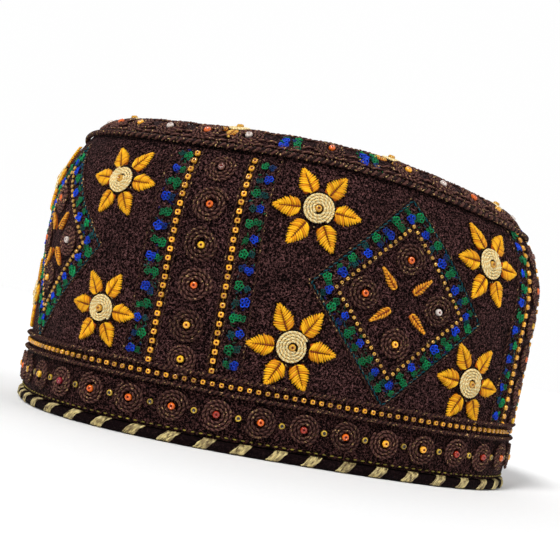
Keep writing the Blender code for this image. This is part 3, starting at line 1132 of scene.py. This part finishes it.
# The pieces gathered so far
for piece, name, look, slot in (
    (petals, "petals", satin_look, "petal_satin"),
    (discs, "flower_discs", metal_look, "metal_thread"),
    (outlines, "outline_cords", edge_look, "couched_cord"),
    (rosette_beads, "rosette_beads", bead_look, "red_bead"),
    (line_beads, "amber_beads", bead_look, "amber_bead"),
    (pale_beads, "pale_beads", bead_look, "pearl_bead"),
    (blue_stitches, "blue_stitches", stitch_look, "blue_stitch"),
    (green_stitches, "green_stitches", stitch_look, "green_stitch"),
    (yellow_stitches, "yellow_stitches", stitch_look, "metal_thread"),
):
    piece.build(name, look, slot)

# Floor, light and camera

def disc_mesh(name, radius, material):
    mesh = bpy.data.meshes.new(name)
    ring = np.arange(96) / 96.0 * TAU
    points = np.stack([radius * np.cos(ring), radius * np.sin(ring), np.zeros(96)], -1)
    mesh.from_pydata(points.tolist(), [], [list(range(96))])
    mesh.materials.append(material)
    made = bpy.data.objects.new(name, mesh)
    bpy.context.scene.collection.objects.link(made)
    return made


floor_look, tree, shader = new_material("floor_look", 0.9, Specular_IOR_Level=0.1)
place = add_node(tree, "ShaderNodeTexCoord").outputs["Object"]
fine = noise(tree, place, 400.0, 3.0)
pale = mixed(tree, fine, (0.90, 0.90, 0.90, 1.0), (0.94, 0.94, 0.94, 1.0))
tree.links.new(pale, shader.inputs["Base Color"])
bump(tree, shader, fine, 0.05 * MM)
floor = disc_mesh("floor", 3.0, floor_look)

backdrop_look, tree, shader = new_material("backdrop_look", 1.0)
place = add_node(tree, "ShaderNodeTexCoord").outputs["Object"]
fine = noise(tree, place, 2.0, 1.0)
white = mixed(tree, fine, (0.99, 0.99, 0.99, 1.0), (1.0, 1.0, 1.0, 1.0))
emission = add_node(tree, "ShaderNodeEmission", {"Color": white, "Strength": 1.0})
tree.links.new(emission.outputs[0], tree.nodes["Material Output"].inputs["Surface"])
bpy.ops.mesh.primitive_uv_sphere_add(radius=4.0, segments=48, ring_count=24)
backdrop = bpy.context.object
backdrop.name = "backdrop"
backdrop.data.materials.append(backdrop_look)
backdrop.visible_diffuse = backdrop.visible_glossy = False
backdrop.visible_transmission = backdrop.visible_shadow = False

world = bpy.data.worlds.new("studio")
world.use_nodes = True
world.node_tree.nodes["Background"].inputs["Color"].default_value = (0.98, 0.99, 1.0, 1.0)
world.node_tree.nodes["Background"].inputs["Strength"].default_value = 0.38
bpy.context.scene.world = world

# Name, azimuth and elevation in degrees, strength, and spread in degrees
SUNS = (
    ("key", -42.0, 52.0, 2.2, 12.0),
    ("fill", 60.0, 35.0, 0.7, 60.0),
    ("back", 170.0, 45.0, 0.6, 50.0),
)
for name, azimuth, elevation, strength, spread in SUNS:
    light = bpy.data.lights.new(name, "SUN")
    light.energy = strength
    light.angle = math.radians(spread)
    lamp = bpy.data.objects.new(name, light)
    lamp.rotation_euler = (math.radians(90.0 - elevation), 0.0, math.radians(azimuth))
    bpy.context.scene.collection.objects.link(lamp)

# Camera fitted to the photograph: turn, tilt and roll in degrees, distances in metres
CAMERA_TURN, CAMERA_TILT, CAMERA_ROLL = (math.radians(value) for value in (-14.999, -1.806, 10.823))
CAMERA_DISTANCE = 0.549031
CAMERA_TARGET = (-0.003383, 0.066489)
LENS = 1304.126 * 36.0 / 560.0

back = np.array((
    math.sin(CAMERA_TURN) * math.cos(CAMERA_TILT),
    -math.cos(CAMERA_TURN) * math.cos(CAMERA_TILT),
    math.sin(CAMERA_TILT),
))
right = np.array((math.cos(CAMERA_TURN), math.sin(CAMERA_TURN), 0.0))
above = np.cross(back, right)
side = right * math.cos(CAMERA_ROLL) + above * math.sin(CAMERA_ROLL)
top = above * math.cos(CAMERA_ROLL) - right * math.sin(CAMERA_ROLL)
eye = right * CAMERA_TARGET[0] + np.array((0.0, 0.0, CAMERA_TARGET[1])) + back * CAMERA_DISTANCE
camera_data = bpy.data.cameras.new("camera")
camera_data.lens = LENS
camera_data.sensor_width = 36.0
camera_data.clip_start = 0.01
camera = bpy.data.objects.new("camera", camera_data)
view = np.eye(4)
view[:3] = np.column_stack([side, top, back, eye])
camera.matrix_world = Matrix(view)
bpy.context.scene.collection.objects.link(camera)
bpy.context.scene.camera = camera
bpy.context.scene.view_settings.view_transform = "Standard"
